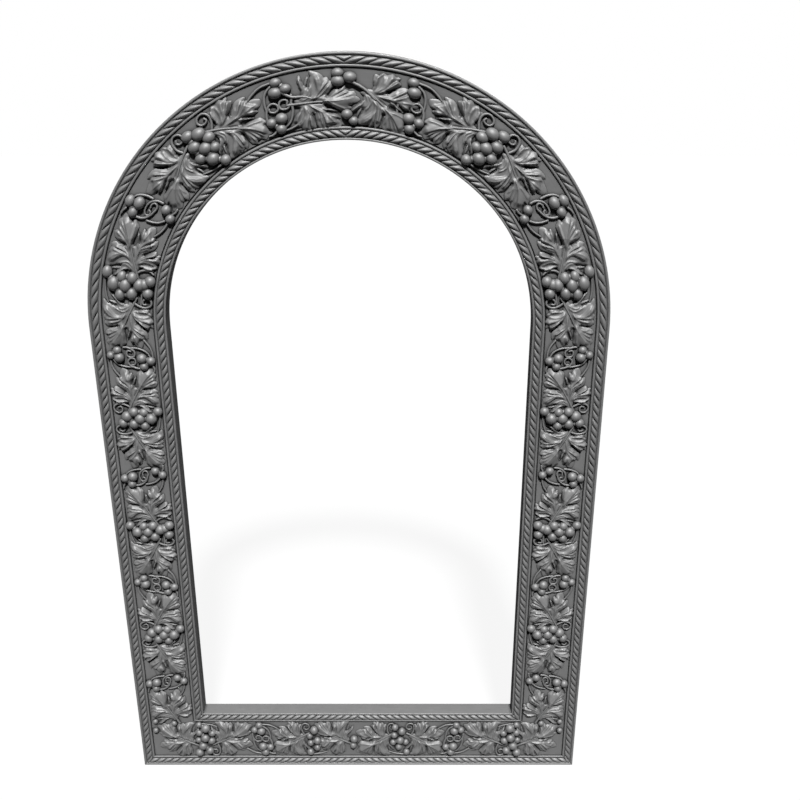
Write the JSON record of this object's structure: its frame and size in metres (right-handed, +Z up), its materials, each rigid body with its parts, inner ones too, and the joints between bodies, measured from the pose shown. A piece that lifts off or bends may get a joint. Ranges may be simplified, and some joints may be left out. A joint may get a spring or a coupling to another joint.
{
  "type": "icon frame",
  "caption": "Arched icon frame: carved grape-vine relief between rope mouldings on a jointed band, with an open sight, a stepped rebate, turn buttons and D-ring hangers on the back.",
  "frame": {"origin": "on the wall plane, in the middle of the bottom rail's flat back", "axes": "+Z up along the stiles, +Y out of the back into the wall, -Y out of the carved front, X across"},
  "size_m": [0.5, 0.0332, 0.781],
  "materials": {
    "carved_wood": "grey primer, satin, over carved wood",
    "spline_wood": "bare, planed",
    "zinc_steel": "zinc plated"
  },
  "bodies": {
    "frame_body": {"left_stile": "carved_wood", "right_stile": "carved_wood", "bottom_rail": "carved_wood", "arch_left": "carved_wood", "arch_crown": "carved_wood", "arch_right": "carved_wood", "mitre_spline_left": "spline_wood", "mitre_spline_right": "spline_wood", "springing_spline_left": "spline_wood", "springing_spline_right": "spline_wood", "crown_spline_left": "spline_wood", "crown_spline_right": "spline_wood", "outer_rope_left": "carved_wood", "outer_rope_right": "carved_wood", "outer_rope_bottom_left": "carved_wood", "outer_rope_bottom_right": "carved_wood", "inner_rope_left": "carved_wood", "inner_rope_right": "carved_wood", "inner_rope_bottom_left": "carved_wood", "inner_rope_bottom_right": "carved_wood", "vine_spray_crown": "carved_wood", "vine_spray_left_1": "carved_wood", "vine_spray_left_2": "carved_wood", "vine_spray_left_3": "carved_wood", "vine_spray_left_4": "carved_wood", "vine_spray_left_5": "carved_wood", "vine_spray_left_6": "carved_wood", "vine_spray_right_1": "carved_wood", "vine_spray_right_2": "carved_wood", "vine_spray_right_3": "carved_wood", "vine_spray_right_4": "carved_wood", "vine_spray_right_5": "carved_wood", "vine_spray_right_6": "carved_wood", "vine_spray_bottom_left_outer": "carved_wood", "vine_spray_bottom_left_inner": "carved_wood", "vine_spray_bottom_right_outer": "carved_wood", "vine_spray_bottom_right_inner": "carved_wood", "button_screw_left_lower": "zinc_steel", "button_screw_left_upper": "zinc_steel", "button_screw_right_lower": "zinc_steel", "button_screw_right_upper": "zinc_steel", "button_screw_bottom": "zinc_steel", "button_screw_crown": "zinc_steel", "hanger_strap_left": "zinc_steel", "hanger_strap_right": "zinc_steel", "hanger_screw_left_lower": "zinc_steel", "hanger_screw_left_upper": "zinc_steel", "hanger_screw_right_lower": "zinc_steel", "hanger_screw_right_upper": "zinc_steel"},
    "button_left_lower": {"turn_button_left_lower": "zinc_steel"},
    "button_left_upper": {"turn_button_left_upper": "zinc_steel"},
    "button_right_lower": {"turn_button_right_lower": "zinc_steel"},
    "button_right_upper": {"turn_button_right_upper": "zinc_steel"},
    "button_bottom": {"turn_button_bottom": "zinc_steel"},
    "button_crown": {"turn_button_crown": "zinc_steel"},
    "ring_left": {"hanger_ring_left": "zinc_steel"},
    "ring_right": {"hanger_ring_right": "zinc_steel"}
  },
  "joints": [
    {"name": "button_left_lower_turn", "type": "hinge", "parent": "frame_body", "child": "button_left_lower", "pos_m": [-0.191, -0.0034, 0.149], "axis": [0, 1, 0], "continuous": true},
    {"name": "button_left_upper_turn", "type": "hinge", "parent": "frame_body", "child": "button_left_upper", "pos_m": [-0.191, -0.0034, 0.369], "axis": [0, 1, 0], "continuous": true},
    {"name": "button_right_lower_turn", "type": "hinge", "parent": "frame_body", "child": "button_right_lower", "pos_m": [0.191, -0.0034, 0.149], "axis": [0, 1, 0], "continuous": true},
    {"name": "button_right_upper_turn", "type": "hinge", "parent": "frame_body", "child": "button_right_upper", "pos_m": [0.191, -0.0034, 0.369], "axis": [0, 1, 0], "continuous": true},
    {"name": "button_bottom_turn", "type": "hinge", "parent": "frame_body", "child": "button_bottom", "pos_m": [0, -0.0034, 0.038], "axis": [0, 1, 0], "continuous": true},
    {"name": "button_crown_turn", "type": "hinge", "parent": "frame_body", "child": "button_crown", "pos_m": [0, -0.0034, 0.701], "axis": [0, 1, 0], "continuous": true},
    {"name": "ring_left_swing", "type": "hinge", "parent": "frame_body", "child": "ring_left", "pos_m": [-0.229, -0.0048, 0.464], "axis": [1, 0, 0], "range_deg": [0, 180]},
    {"name": "ring_right_swing", "type": "hinge", "parent": "frame_body", "child": "ring_right", "pos_m": [0.229, -0.0048, 0.464], "axis": [1, 0, 0], "range_deg": [0, 180]}
  ]
}
